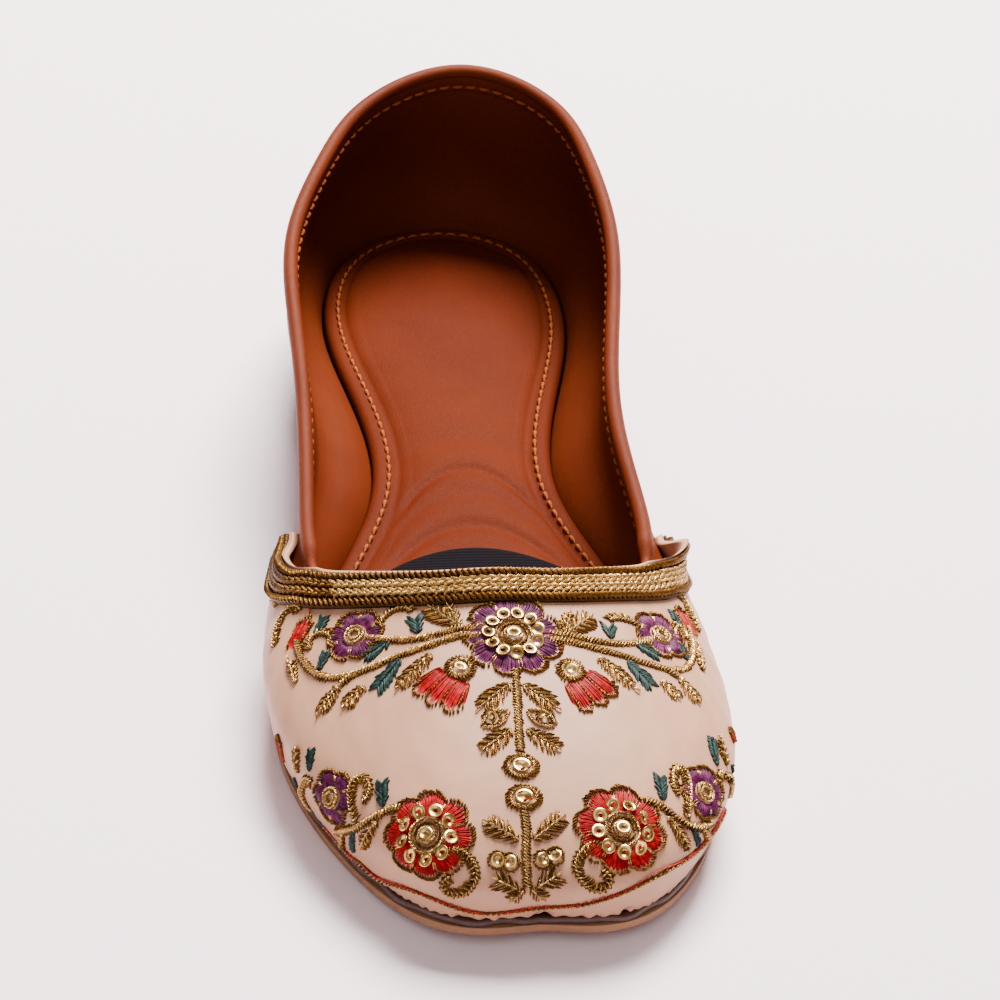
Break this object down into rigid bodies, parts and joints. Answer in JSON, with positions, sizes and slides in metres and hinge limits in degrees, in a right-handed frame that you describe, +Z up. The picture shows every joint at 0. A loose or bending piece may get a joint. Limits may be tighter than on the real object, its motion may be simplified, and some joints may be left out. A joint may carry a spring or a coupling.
{
  "type": "mojari shoe",
  "caption": "Flat slip-on mojari with a hollow brown leather body, a satin vamp with a braided throat, a thin sole with a low heel, and a padded insole.",
  "frame": {"origin": "on the floor under the middle of the shoe's box", "axes": "+Y from toe to heel, +X towards the side with the hollower waist, +Z up"},
  "size_m": [0.0906, 0.2436, 0.0564],
  "materials": {
    "sole_leather": "tan veg-tanned leather, cut edge",
    "welt_leather": "dark brown leather edge, matt",
    "body_leather": "smooth tan-brown leather, satin",
    "vamp_satin": "cream satin with zari embroidery",
    "zari_braid": "gold metal-wrapped thread, braided",
    "insole_leather": "padded brown leather, stitched border",
    "label_cloth": "bare black cloth, matt"
  },
  "bodies": {
    "root": {"outsole": "sole_leather", "welt": "welt_leather", "upper": "body_leather", "vamp": "vamp_satin", "throat_braid": "zari_braid", "insole": "insole_leather", "sock_label": "label_cloth"}
  },
  "joints": []
}
